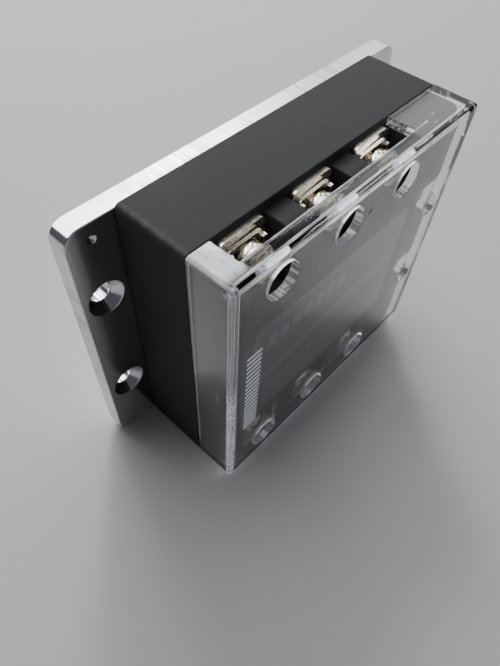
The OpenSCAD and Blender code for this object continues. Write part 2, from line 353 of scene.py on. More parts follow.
@dataclass(frozen=True)
class BlackMoulding:
    """Matte black moulded plastic with a fine spark-eroded texture and rubbed edges."""

    name: str = "housing_black"
    colour: Colour = rgb(0.016, 0.0175, 0.0185)
    rubbed: Colour = rgb(0.055, 0.058, 0.061)
    half_width: float = 40.7 * MM
    height: float = 76.4 * MM

    def material(self) -> bpy.types.Material:
        """Builds the material.

        Returns:
            The material.
        """
        tree = ShaderTree(self.name)
        x, _, z = tree.place()
        texture = tree.noise(5200, 2)
        cloud = tree.noise(60, 4)
        scuff = tree.noise(420, 3, (0.2, 1, 1), 0.6).fade(0.66, 0.70)
        dust = tree.noise(2600, 1).fade(0.76, 0.80)
        side = self.half_width - abs(x)
        cap = (self.height - z).least(z)
        edge = (side + cap).fade(0.0020, 0.0006) * tree.noise(500, 3).fade(0.1, 0.9)
        shade = tree.mix(cloud.fade(0.3, 0.75) * 0.25 + edge * 0.5 + scuff * 0.12, self.colour, self.rubbed)
        shade = tree.mix(dust * 0.4, shade, grey(0.20))
        rough = 0.76 + (cloud - 0.5) * 0.16 - edge * 0.20 + (texture - 0.5) * 0.1
        normal = tree.bump(texture, 0.00006, 0.35)
        return tree.surface(tree.principled(Base_Color=shade, Roughness=rough, Normal=normal,
                                            Specular_IOR_Level=0.32))


@dataclass(frozen=True)
class ClearPlastic:
    """Polished clear moulding with worn spots and painted highlight lines in a glowing haze, which lets
    lamplight through to what is behind.
    """

    low: Vector
    high: Vector
    wall: float
    strip: float
    name: str = "cover_clear"
    index: float = 1.49
    tint: Colour = rgb(0.980, 0.990, 1.0)
    # worn is the haze's colour and also the colour of its emission, a painted glow.
    worn: Colour = rgb(0.88, 0.90, 0.96)
    milk: float = 0.0
    # glow is the haze's emission strength: painted light that keeps the haze bright in shade.
    glow: float = 0.22
    # rows: heights of the power holes whose upper rims get a painted highlight.
    rows: tuple[float, ...] = ()

    def material(self) -> bpy.types.Material:
        """Builds the material.

        Returns:
            The material.
        """
        tree = ShaderTree(self.name)
        ripple = tree.noise(55, 1)
        # Share of haze: real worn marks, plus painted highlights, all lit by the haze's painted glow.
        wear_and_highlights = self._cut(tree) if self.milk else self._wear_and_highlights(tree)
        normal = tree.bump(ripple, 0.00010, 0.25)
        glass = tree.principled(Base_Color=self.tint, Roughness=0.0, Normal=normal, Transmission_Weight=1.0,
                                IOR=self.index)
        grit = tree.bump(tree.noise(3500, 2), 0.00006, 0.6)
        # The haze glows by its emission: painted light on every worn spot and painted edge line.
        haze = tree.principled(Base_Color=self.worn, Roughness=0.32, Normal=grit, Emission_Color=self.worn,
                               Emission_Strength=self.glow)
        solid = tree.blend(wear_and_highlights, glass, haze)
        lamp = tree.add("ShaderNodeBsdfTransparent", None, {0: grey(0.92)}).outputs[0]
        path = tree.add("ShaderNodeLightPath").outputs["Is Shadow Ray"]
        return tree.surface(tree.blend(path, solid, lamp))

    def _wear_and_highlights(self, tree: ShaderTree) -> Value:
        """Share of haze: painted highlight lines along the edges, a rubbed corner, a scratched patch on top
        that is partly a painted highlight, and hairlines.

        Args:
            tree: The material's tree.

        Returns:
            The share of haze, from 0 to 1.
        """
        x, y, z = tree.place()
        left, front, top = x - self.low.x, y - self.low.y, self.high.z - z
        right = self.high.x - x
        scratches = tree.noise(5200, 2, (1, 0.06, 1), 0.6)
        # The patch on top is real scratching and also a painted highlight: its bright haze stands in for a
        # lamp's reflection.
        patch = left.within(0.0034, 0.0027, 0.0011) * front.within(0.0100, 0.0072, 0.0035)
        scrape_and_highlight = patch * top.fade(0.0003, 0.0001) * (0.62 + scratches.fade(0.35, 0.65) * 0.34)
        hair = tree.noise(360, 3, (1, 1, 0.10), 0.55).fade(0.700, 0.712) * 0.2
        specks = tree.noise(1300, 1).fade(0.79, 0.81) * 0.5
        # Painted highlight lines along the shell's edges.
        edges = self._edge_highlights(tree, left, right, front, top, z - self.low.z)
        corner = self._corner(tree, left, front, z)
        return edges.most(corner).most(scrape_and_highlight).most(hair).most(specks)

    def _edge_highlights(self, tree: ShaderTree, left: Value, right: Value, front: Value, top: Value,
               bottom: Value) -> Value:
        """Painted highlight lines along the outer and inner edges of the shell, drawn as glowing haze where
        the lamps' glints would be.

        Args:
            tree: The material's tree.
            left: Distance from the left face.
            right: Distance from the right face.
            front: Distance from the front face.
            top: Distance from the top face.
            bottom: Distance from the bottom face.

        Returns:
            The lines' share of haze.
        """
        uneven = 0.35 + tree.noise(160, 3).fade(0.3, 0.6) * 0.65
        outer = (front + top).fade(0.00064, 0.00052).most((front + bottom).fade(0.00080, 0.00070))
        for end in (left, right):
            outer = outer.most((end + top).fade(0.00068, 0.00056))
        inner = self._seam(front, top, 0.0006, 0.00045).most(self._seam(left, top, 0.0002, 0.0001))
        foot = bottom.fade(0.0012, 0.0009) * front.fade(0.0005, 0.0004)
        back = abs(front - self.strip).fade(0.00022, 0.00012) * top.fade(0.00030, 0.00012)
        back = back * left.fade(0.0063, 0.0066) * right.fade(0.0150, 0.0153)
        # outer, inner, back and foot are painted highlight lines: the outer roundings, the inner seams, the
        # top strip's back edge and the bottom edge.
        return (outer * 0.74).most(inner * 0.55).most(back * 0.8).most(foot * 0.9) * uneven

    def _seam(self, first: Value, second: Value, faint: float, full: float) -> Value:
        """The painted highlight line along the shell's inner edge where two walls meet.

        Args:
            first: Distance from one outer face.
            second: Distance from the other outer face.
            faint: Distance from the edge where the line ends.
            full: Distance from the edge within which it is whole.

        Returns:
            The line's mask.
        """
        return abs(first - self.wall).fade(faint, full) * abs(second - self.wall).fade(faint, full)

    def _cut(self, tree: ShaderTree) -> Value:
        """Share of haze on the walls of the round holes, which show the marks of the mould's pins, with a
        painted highlight along the upper rim of each power hole.

        Args:
            tree: The material's tree.

        Returns:
            The share of haze.
        """
        streaks = tree.noise(700, 2, (1, 0.08, 1), 0.6).fade(0.50, 0.60)
        share = self.milk * 0.5 + streaks * self.milk * 0.7
        _, _, z = tree.place()
        # Painted highlight: a bright band near the top of each hole in the power rows.
        for height in self.rows:
            share = share.most(z.within(height + 0.0037, 0.0008, 0.0008) * 0.95)
        return share

    def _corner(self, tree: ShaderTree, left: Value, front: Value, z: Value) -> Value:
        """The milky front left corner with its rubbed flecks, which the haze's emission lights in shade as
        a painted glow.

        Args:
            tree: The material's tree.
            left: Distance from the left face.
            front: Distance from the front face.
            z: Height.

        Returns:
            The corner's share of haze.
        """
        # Real rubbing, kept bright in shade by the haze's painted glow.
        band = left.fade(0.0016, 0.0014) * front.fade(0.0017, 0.0015)
        flecks = z.within(0.018, 0.024, 0.012) * tree.noise(3400, 4, (1, 1, 0.32), 0.7).fade(0.40, 0.56)
        return band * (0.26 + flecks * 0.70)


@dataclass(frozen=True)
class FrostedPlastic:
    """The cover's plastic where its surface was left rough, so that it looks white, with a faint painted
    glow from its emission.
    """

    name: str = "cover_frosted"
    colour: Colour = rgb(0.90, 0.93, 0.98)

    def material(self) -> bpy.types.Material:
        """Builds the material.

        Returns:
            The material.
        """
        tree = ShaderTree(self.name)
        grit = tree.noise(3800, 3)
        shade = tree.mix(grit.fade(0.3, 0.7) * 0.35, self.colour, rgb(0.50, 0.54, 0.62))
        # Emission: a painted glow that keeps the rough plastic bright in shade.
        return tree.surface(tree.principled(Base_Color=shade, Roughness=0.34 + grit * 0.2,
                                            Normal=tree.bump(grit, 0.00006, 0.6), Emission_Color=shade,
                                            Emission_Strength=0.16))


@dataclass(frozen=True)
class PlatedMetal:
    """Nickel or zinc plating over stamped steel or brass."""

    name: str
    colour: Colour = rgb(0.78, 0.72, 0.60)
    stain: Colour = rgb(0.48, 0.39, 0.25)
    roughness: float = 0.20
    grain: Grain = Grain.TUMBLED

    def material(self) -> bpy.types.Material:
        """Builds the material.

        Returns:
            The material.
        """
        tree = ShaderTree(self.name)
        stretch = (1, 0.08, 1) if self.grain is Grain.SHEARED else (1, 1, 1)
        wave = tree.noise(650, 3, stretch)
        pits = tree.noise(2600, 3, stretch, 0.6)
        tarnish = tree.noise(240, 4).fade(0.52, 0.78)
        shade = tree.mix(tarnish * 0.55, self.colour, self.stain)
        rough = self.roughness + (pits - 0.5) * 0.16 + tarnish * 0.16
        normal = tree.bump(wave, 0.00005, 0.35)
        normal = tree.bump(pits, 0.00002, 0.3, normal)
        shader = tree.principled(Base_Color=shade, Metallic=1.0, Roughness=rough.most(0.07), Normal=normal)
        return tree.surface(shader)


@dataclass(frozen=True)
class PlainStock:
    """A quiet material for the sealed inner pieces, with a speckle of a second tone."""

    name: str
    colour: Colour
    second: Colour
    roughness: float = 0.5
    metallic: float = 0.0
    scale: float = 900.0
    relief: float = 0.00003

    def material(self) -> bpy.types.Material:
        """Builds the material.

        Returns:
            The material.
        """
        tree = ShaderTree(self.name)
        fine = tree.noise(self.scale, 3)
        broad = tree.noise(self.scale / 9, 2)
        shade = tree.mix(fine.fade(0.4, 0.7) * 0.6 + broad * 0.3, self.colour, self.second)
        rough = self.roughness + (fine - 0.5) * 0.2
        shader = tree.principled(Base_Color=shade, Metallic=self.metallic, Roughness=rough.most(0.05),
                                 Normal=tree.bump(fine, self.relief, 0.4))
        return tree.surface(shader)


@dataclass(frozen=True)
class PrintedFilm:
    """Dark label film with a plain printed layout of bars."""

    low: Vector
    high: Vector
    name: str = "label_film"
    ground: Colour = rgb(0.018, 0.022, 0.034)
    ink: Colour = rgb(0.20, 0.22, 0.25)

    def material(self) -> bpy.types.Material:
        """Builds the material.

        Returns:
            The material.
        """
        tree = ShaderTree(self.name)
        x, _, z = tree.place()
        width = self.high.x - self.low.x
        height = self.high.z - self.low.z
        across = (x - self.low.x) / width
        down = (self.high.z - z) / height
        title = down.within(0.20, 0.055, 0.01) * across.within(0.33, 0.25, 0.008)
        gaps = across.maths("MODULO", 0.072).within(0.036, 0.027, 0.006)
        band = (down + across * 0.16).within(0.56, 0.045, 0.008) * across.within(0.5, 0.46, 0.01)
        rows = (down * 15).maths("FRACT").within(0.5, 0.18, 0.1)
        words = (across * 31 + tree.noise(300, 1) * 3).maths("FRACT").fade(0.18, 0.26)
        lines = rows * words * down.within(0.80, 0.13, 0.01) * across.within(0.40, 0.33, 0.008)
        frame_line = (across.least(1 - across) * width).least(down.least(1 - down) * height)
        border = frame_line.within(0.0011, 0.00012, 0.00006)
        print_mask = (title * gaps).most(band * 0.55).most(lines * 0.8).most(border * 0.7)
        worn = tree.noise(1500, 3).fade(0.25, 0.5)
        shade = tree.mix(print_mask * worn, self.ground, self.ink)
        rough = 0.30 + print_mask * 0.12 + (tree.noise(200, 3) - 0.5) * 0.12
        shader = tree.principled(Base_Color=shade, Roughness=rough, IOR=1.48,
                                 Normal=tree.bump(print_mask, 0.00003, 0.5))
        return tree.surface(shader)


@dataclass
class Finishes:
    """Every material by the record's slot name, each built once."""

    layout: "Layout"
    made: dict[str, bpy.types.Material] = field(default_factory=dict)

    def __post_init__(self) -> None:
        """Builds the materials."""
        plain = [
            PlainStock("sealant", rgb(0.62, 0.62, 0.60), rgb(0.50, 0.50, 0.48), 0.55),
            PlainStock("potting_resin", rgb(0.020, 0.020, 0.024), rgb(0.05, 0.05, 0.055), 0.25, 0, 300),
            PlainStock("tinned_wire", rgb(0.80, 0.78, 0.74), rgb(0.66, 0.63, 0.58), 0.28, 1.0),
            PlainStock("board_green", rgb(0.02, 0.16, 0.06), rgb(0.03, 0.24, 0.10), 0.38),
            PlainStock("capacitor_case", rgb(0.07, 0.16, 0.38), rgb(0.05, 0.11, 0.28), 0.42),
            PlainStock("resistor_body", rgb(0.62, 0.50, 0.32), rgb(0.50, 0.38, 0.22), 0.45),
            PlainStock("chip_black", rgb(0.015, 0.015, 0.016), rgb(0.04, 0.04, 0.04), 0.5),
            PlainStock("alumina", rgb(0.86, 0.86, 0.82), rgb(0.76, 0.75, 0.70), 0.45),
            PlainStock("silicon", rgb(0.16, 0.17, 0.21), rgb(0.10, 0.11, 0.15), 0.12, 0.7),
            PlainStock("copper", rgb(0.76, 0.38, 0.22), rgb(0.52, 0.24, 0.13), 0.30, 1.0),
            PlainStock("optocoupler_white", rgb(0.82, 0.82, 0.78), rgb(0.72, 0.71, 0.66), 0.5),
        ]
        metals = [
            PlatedMetal("nut_steel", rgb(0.66, 0.65, 0.62), rgb(0.45, 0.43, 0.38), 0.32),
            PlatedMetal("terminal_nickel", rgb(0.86, 0.82, 0.72), roughness=0.28, grain=Grain.SHEARED),
            PlatedMetal("clamp_nickel", rgb(0.80, 0.75, 0.64), roughness=0.20),
            PlatedMetal("spring_steel", rgb(0.80, 0.77, 0.70), rgb(0.55, 0.50, 0.42), 0.18),
            PlatedMetal("screw_nickel", rgb(0.74, 0.66, 0.52), rgb(0.42, 0.33, 0.20), 0.20),
        ]
        clear = ClearPlastic(*self.layout.cover, self.layout.wall, self.layout.strip)
        # Heights of the power screws, where the hole walls get painted highlights on their upper rims.
        rows = tuple(sorted({round(screw.z, 5) for (row, _), screw in self.layout.screws.items()
                             if row is not Row.CONTROL}))
        # The hole walls' stronger glow is a painted glow.
        hole_walls = replace(clear, name="cover_hole_walls", milk=0.38, glow=0.32, rows=rows)
        special = [BareAluminium(*self.layout.plate), BlackMoulding(), clear, hole_walls, FrostedPlastic(),
                   PrintedFilm(*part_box("label_panel"))]
        for finish in [*plain, *metals, *special]:
            self.made[finish.name] = finish.material()

    def dress(self, piece: bpy.types.Object, slot: str) -> None:
        """Gives a piece the material of a slot, on its first material slot.

        Args:
            piece: The mesh object.
            slot: The record's name for its material.
        """
        if piece.material_slots:
            piece.material_slots[0].material = self.made[slot]
        else:
            piece.data.materials.append(self.made[slot])


# ------------------------------------------------------------------- workbench


def runs(first: Vector, second: Vector, axis: Vector) -> bool:
    """True where an edge runs along an axis."""
    return abs((second - first).normalized().dot(axis)) > 0.999


def at(value: float, *places: float) -> bool:
    """True where a value is at one of some places."""
    return any(abs(value - place) < NEAR for place in places)


class Bench:
    """Modelling moves, each made with the operators that are used by hand."""

    @staticmethod
    def clear() -> None:
        """Leaves edit mode and deselects everything."""
        if bpy.context.object is not None and bpy.context.object.mode != "OBJECT":
            bpy.ops.object.mode_set(mode="OBJECT")
        bpy.ops.object.select_all(action="DESELECT")

    @staticmethod
    def pick(piece: bpy.types.Object) -> None:
        """Makes one object the selected and active one.

        Args:
            piece: The mesh object.
        """
        Bench.clear()
        piece.select_set(True)
        bpy.context.view_layer.objects.active = piece

    @staticmethod
    def settle(piece: bpy.types.Object) -> bpy.types.Object:
        """Moves an object's place, turn and scale into its mesh.

        Args:
            piece: The mesh object.

        Returns:
            The same object.
        """
        Bench.pick(piece)
        bpy.ops.object.transform_apply(location=True, rotation=True, scale=True)
        return piece

    @staticmethod
    def block(low: Sequence[float], high: Sequence[float]) -> bpy.types.Object:
        """A cuboid between two corners.

        Args:
            low: Its lowest corner.
            high: Its highest corner.

        Returns:
            The cuboid.
        """
        Bench.clear()
        a, b = Vector(low), Vector(high)
        bpy.ops.mesh.primitive_cube_add(size=1, location=(a + b) / 2, scale=b - a)
        return Bench.settle(bpy.context.object)

    @staticmethod
    def rod(start: Sequence[float], end: Sequence[float], radius: float, tip: float | None = None,
            sides: int = 48) -> bpy.types.Object:
        """A round bar or cone between two points.

        Args:
            start: Centre of the first end.
            end: Centre of the second end.
            radius: Radius at the first end.
            tip: Radius at the second end, where it differs.
            sides: Number of flat sides.

        Returns:
            The bar.
        """
        Bench.clear()
        a, b = Vector(start), Vector(end)
        along = b - a
        bpy.ops.mesh.primitive_cone_add(vertices=sides, radius1=radius, depth=along.length,
                                        radius2=radius if tip is None else tip, location=(a + b) / 2)
        bar = bpy.context.object
        bar.rotation_euler = along.to_track_quat("Z", "Y").to_euler()
        return Bench.settle(bar)

    @staticmethod
    def edit(piece: bpy.types.Object, kind: str) -> bmesh.types.BMesh:
        """Enters edit mode with nothing selected.

        Args:
            piece: The mesh object.
            kind: VERT, EDGE or FACE.

        Returns:
            The edit mesh.
        """
        Bench.pick(piece)
        bpy.ops.object.mode_set(mode="EDIT")
        bpy.ops.mesh.select_mode(type=kind)
        bpy.ops.mesh.select_all(action="DESELECT")
        return bmesh.from_edit_mesh(piece.data)

    @staticmethod
    def select_edges(piece: bpy.types.Object, test: EdgeTest) -> None:
        """Selects the edges whose two ends pass a test, in edit mode.

        Args:
            piece: The mesh object.
            test: Says by an edge's two ends whether it is selected.
        """
        mesh = Bench.edit(piece, "EDGE")
        for edge in [e for e in mesh.edges if test(e.verts[0].co, e.verts[1].co)]:
            edge.select_set(True)
        bmesh.update_edit_mesh(piece.data)

    @staticmethod
    def select_faces(piece: bpy.types.Object, normal: Vector) -> None:
        """Selects the faces that look along a normal, in edit mode.

        Args:
            piece: The mesh object.
            normal: The direction the faces look in.
        """
        mesh = Bench.edit(piece, "FACE")
        for face in [f for f in mesh.faces if f.normal.dot(normal) > 0.9]:
            face.select_set(True)
        bmesh.update_edit_mesh(piece.data)

    @staticmethod
    def round_edges(piece: bpy.types.Object, radius: float, steps: int, test: EdgeTest) -> bpy.types.Object:
        """Rounds the edges that pass a test.

        Args:
            piece: The mesh object.
            radius: Radius of the rounding.
            steps: Segments across it.
            test: Says by an edge's two ends whether it is rounded.

        Returns:
            The same object.
        """
        Bench.select_edges(piece, test)
        bpy.ops.mesh.bevel(offset=radius, offset_type="OFFSET", segments=steps, affect="EDGES")
        bpy.ops.object.mode_set(mode="OBJECT")
        return piece

    @staticmethod
    def extrude(piece: bpy.types.Object, normal: Vector, distance: float) -> bpy.types.Object:
        """Pulls out the faces that look along a normal.

        Args:
            piece: The mesh object.
            normal: The direction the faces look in.
            distance: How far they are pulled.

        Returns:
            The same object.
        """
        Bench.select_faces(piece, normal)
        bpy.ops.mesh.extrude_region_move(TRANSFORM_OT_translate={"value": tuple(normal * distance)})
        bpy.ops.object.mode_set(mode="OBJECT")
        return piece

    @staticmethod
    def join(pieces: Iterable[bpy.types.Object]) -> bpy.types.Object:
        """Joins separate solids into one object.

        Args:
            pieces: The solids; the first one keeps its name.

        Returns:
            The joined object.
        """
        kept = list(pieces)
        Bench.pick(kept[0])
        for other in kept[1:]:
            other.select_set(True)
        if len(kept) > 1:
            bpy.ops.object.join()
        return kept[0]

    @staticmethod
    def apply(piece: bpy.types.Object, kind: str, **settings: object) -> bpy.types.Object:
        """Adds one modifier and applies it.

        Args:
            piece: The mesh object.
            kind: The modifier's type.
            **settings: The modifier's settings.

        Returns:
            The same object.
        """
        Bench.pick(piece)
        modifier = piece.modifiers.new(kind.lower(), kind)
        for key, setting in settings.items():
            setattr(modifier, key, setting)
        bpy.ops.object.modifier_apply(modifier=modifier.name)
        return piece

    @staticmethod
    def merge(piece: bpy.types.Object, operation: str,
              tools: Iterable[bpy.types.Object]) -> bpy.types.Object:
        """Cuts tools out of a piece, or adds them to it.

        Args:
            piece: The piece that is kept.
            operation: DIFFERENCE, UNION or INTERSECT.
            tools: Solids that are used up.

        Returns:
            The piece.
        """
        for tool in tools:
            Bench.apply(piece, "BOOLEAN", operation=operation, object=tool, solver="EXACT")
            bpy.data.objects.remove(tool, do_unlink=True)
        Bench.edit(piece, "VERT")
        bpy.ops.mesh.select_all(action="SELECT")
        bpy.ops.mesh.remove_doubles(threshold=2e-6)
        bpy.ops.mesh.dissolve_limited(angle_limit=math.radians(0.5), delimit={"MATERIAL"})
        bpy.ops.mesh.select_all(action="DESELECT")
        bpy.ops.object.mode_set(mode="OBJECT")
        return piece

    @staticmethod
    def soften(piece: bpy.types.Object, width: float, steps: int = 2,
               angle: float = 35) -> bpy.types.Object:
        """Breaks every sharp edge and evens the shading.

        Args:
            piece: The mesh object.
            width: Width of the broken edge.
            steps: Segments across it.
            angle: Smallest angle that counts as an edge, in degrees.

        Returns:
            The same object.
        """
        Bench.apply(piece, "BEVEL", width=width, segments=steps, limit_method="ANGLE",
                    angle_limit=math.radians(angle), harden_normals=False, use_clamp_overlap=True)
        return Bench.shade(piece)

    @staticmethod
    def shade(piece: bpy.types.Object, angle: float = 40) -> bpy.types.Object:
        """Smooth shading that keeps large faces flat.

        Args:
            piece: The mesh object.
            angle: Smallest angle that stays a sharp edge, in degrees.

        Returns:
            The same object.
        """
        Bench.pick(piece)
        bpy.ops.object.shade_smooth_by_angle(angle=math.radians(angle))
        return Bench.apply(piece, "WEIGHTED_NORMAL", mode="FACE_AREA", keep_sharp=True, weight=80)

    @staticmethod
    def heal(piece: bpy.types.Object) -> bpy.types.Object:
        """Merges doubles and points every face outwards.

        Args:
            piece: The mesh object.

        Returns:
            The same object.
        """
        Bench.edit(piece, "VERT")
        bpy.ops.mesh.select_all(action="SELECT")
        bpy.ops.mesh.remove_doubles(threshold=1e-7)
        bpy.ops.mesh.normals_make_consistent(inside=False)
        bpy.ops.object.mode_set(mode="OBJECT")
        return piece

    @staticmethod
    def lathe(outline: Sequence[tuple[float, float]], steps: int = 48) -> bpy.types.Object:
        """Turns a half outline once round the Z axis.

        Args:
            outline: Pairs of radius and height.
            steps: Segments of the turn.

        Returns:
            The closed turned piece.
        """
        Bench.clear()
        bpy.ops.mesh.primitive_plane_add(size=1)
        bar = bpy.context.object
        line = bmesh.new()
        points = [line.verts.new((radius, 0, height)) for radius, height in outline]
        for first, second in zip(points, points[1:]):
            line.edges.new((first, second))
        line.to_mesh(bar.data)
        line.free()
        Bench.edit(bar, "VERT")
        bpy.ops.mesh.select_all(action="SELECT")
        bpy.ops.mesh.spin(steps=steps, angle=math.tau, center=(0, 0, 0), axis=(0, 0, 1))
        return Bench.heal(bar)

    @staticmethod
    def copy(piece: bpy.types.Object, move: Matrix) -> bpy.types.Object:
        """Copies a piece with its own mesh, moved in that mesh.

        Args:
            piece: The piece to copy.
            move: Where the copy goes, from the first.

        Returns:
            The copy.
        """
        twin = piece.copy()
        twin.data = piece.data.copy()
        bpy.context.collection.objects.link(twin)
        twin.data.transform(move)
        if move.determinant() < 0:
            Bench.pick(twin)
            bpy.ops.object.mode_set(mode="EDIT")
            bpy.ops.mesh.select_all(action="SELECT")
            bpy.ops.mesh.flip_normals()
            bpy.ops.object.mode_set(mode="OBJECT")
        return twin

    @staticmethod
    def hand_over(piece: bpy.types.Object, name: str, body: str, slot: str, *nodes: str) -> None:
        """Names a finished piece, lets it ride on its body and stand for its CAD nodes.

        Args:
            piece: The mesh object.
            name: Its name.
            body: The body that it moves with.
            slot: The record's name for its material; not used.
            *nodes: The CAD nodes that it stands for.
        """
        Bench.clear()
        piece.name = name
        piece.data.name = name
        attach(piece, body)
        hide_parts(*nodes)
        LOG.info("%s: %d faces, on %s, for %s", name, len(piece.data.polygons), body, ", ".join(nodes))


# ------------------------------------------------------------- the real sizes


@dataclass
class Layout:
    """Sizes and places that several pieces share; the boxes, holes and screw places are read from the
    frame, the rest are given.
    """

    plate: tuple[Vector, Vector]
    housing: tuple[Vector, Vector]
    cover: tuple[Vector, Vector]
    hole_span: tuple[float, float]
    hole_radius: float
    screws: dict[tuple[Row, int], Vector]
    wall: float = 2.2 * MM
    strip: float = 4.75 * MM
    gap: float = 0.2 * MM
    block_front: float = 3 * MM
    bay_width: float = 14 * MM
    bay_length: float = 14.6 * MM
    control_width: float = 13 * MM
    control_length: float = 10.5 * MM
    bay_depth: float = 12 * MM
    rib_out: float = 29.5 * MM
    power_leg: float = 14.4 * MM
    control_leg: float = 10.1 * MM

    @classmethod
    def read(cls, record: dict) -> "Layout":
        """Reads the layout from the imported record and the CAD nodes' boxes.

        Args:
            record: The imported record.

        Returns:
            The layout.
        """
        holes = next(m for m in record["mounts"] if m["name"] == "fixing_holes")["dims"]
        screws = {}
        for row in Row:
            for number in (1, 2, 3) if row is not Row.CONTROL else (1, 2):
                low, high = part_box(f"{row.value}_screw_{number}")
                screws[row, number] = Vector(((low.x + high.x) / 2, low.y, (low.z + high.z) / 2))
        span = (holes["spacing_x_mm"] * MM, holes["spacing_y_mm"] * MM)
        return cls(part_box("base_plate"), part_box("housing"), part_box("terminal_cover"), span,
                   holes["hole_r_mm"] * MM, screws)

    @property
    def front(self) -> float:
        """Depth of the cover's front face."""
        return self.cover[0].y

    @property
    def step(self) -> float:
        """Depth of the bays' floor, where the main block begins."""
        return self.front + self.bay_depth

    @property
    def middle(self) -> float:
        """Height of the middle plane."""
        return (self.housing[0].z + self.housing[1].z) / 2

    @property
    def block(self) -> tuple[Vector, Vector]:
        """Corners of the front block, which fills the cover.

        Returns:
            Its lowest and highest corners.
        """
        inset = self.wall + self.gap
        low, high = self.housing
        return (Vector((low.x + inset, self.front + self.block_front, low.z + inset)),
                Vector((high.x - inset, self.step, high.z - inset)))

    def rib_heights(self) -> tuple[float, float]:
        """Heights of the two guide ribs inside the cover's right end."""
        return (self.middle - self.rib_out, self.middle + self.rib_out)

    def phase_x(self, number: int) -> float:
        """Middle of a power terminal along X."""
        return self.screws[Row.LINE, number].x


# ----------------------------------------------------------------- base plate


@dataclass
class BasePlate:
    """The metal plate that the relay is fixed and cooled by."""

    layout: Layout
    finishes: Finishes
    corner: float = 4 * MM
    sink_radius: float = 4.4 * MM
    edge: float = 0.3 * MM
    punch: tuple[float, float] = (-46.6 * MM, 71.5 * MM)
    punch_radius: float = 1.05 * MM

    def build(self) -> None:
        """Models the plate with its rounded corners and countersunk holes."""
        low, high = self.layout.plate
        plate = Bench.block(low, high)
        Bench.round_edges(plate, self.corner, 10, lambda a, b: runs(a, b, FRONT))
        Bench.merge(plate, "DIFFERENCE", [Bench.join(self._drills())])
        Bench.soften(plate, self.edge, 3)
        self.finishes.dress(plate, "plate_aluminium")
        Bench.hand_over(plate, "plate", "relay", "plate_aluminium", "base_plate")

    def _drills(self) -> list[bpy.types.Object]:
        """The countersinking drills and the punch that shape the plate.

        Returns:
            The tools to cut with.
        """
        low, high = self.layout.plate
        span_x, span_z = self.layout.hole_span
        tools = []
        for side in (-1, 1):
            for level in (-1, 1):
                place = Vector((side * span_x / 2, low.y, self.layout.middle + level * span_z / 2))
                tools.append(self._drill(place, high.y - low.y))
        radius = self.punch_radius
        mark = Vector((self.punch[0], low.y, self.punch[1]))
        deep = Vector((0, radius * 0.55, 0))
        tools.append(Bench.rod(mark - deep, mark + deep, radius * 1.6, radius * 0.25, 24))
        return tools

    def _drill(self, place: Vector, thickness: float) -> bpy.types.Object:
        """A drill with a countersinking shoulder, put through the plate.

        Args:
            place: The hole's middle on the plate's front face.
            thickness: The plate's thickness.

        Returns:
            The drill.
        """
        over = Vector((0, 1 * MM, 0))
        radius = self.layout.hole_radius
        through = Vector((0, thickness, 0))
        drill = Bench.rod(place - over, place + through + over, radius, sides=56)
        depth = Vector((0, self.sink_radius - radius, 0))
        grown = self.sink_radius + over.length
        sink = Bench.rod(place - over, place + depth, grown, radius, 56)
        return Bench.merge(drill, "UNION", [sink])


# -------------------------------------------------------------------- housing


@dataclass(frozen=True)
class NutSeat:
    """Half widths of a boss and of the nut's pocket in it, and the screw hole behind."""

    nuts: str
    boss: float
    pocket: float
    hole: float
    shift: float = 0.0

    @classmethod
    def of(cls, row: Row) -> "NutSeat":
        """The seat of a row's nuts.

        Args:
            row: The row of terminals.

        Returns:
            The seat's sizes.
        """
        if row is Row.CONTROL:
            return cls("control_nuts", 4.3 * MM, 2.85 * MM, 1.8 * MM, 0.5 * MM)
        return cls("power_nuts", 5.3 * MM, 3.6 * MM, 2.3 * MM)


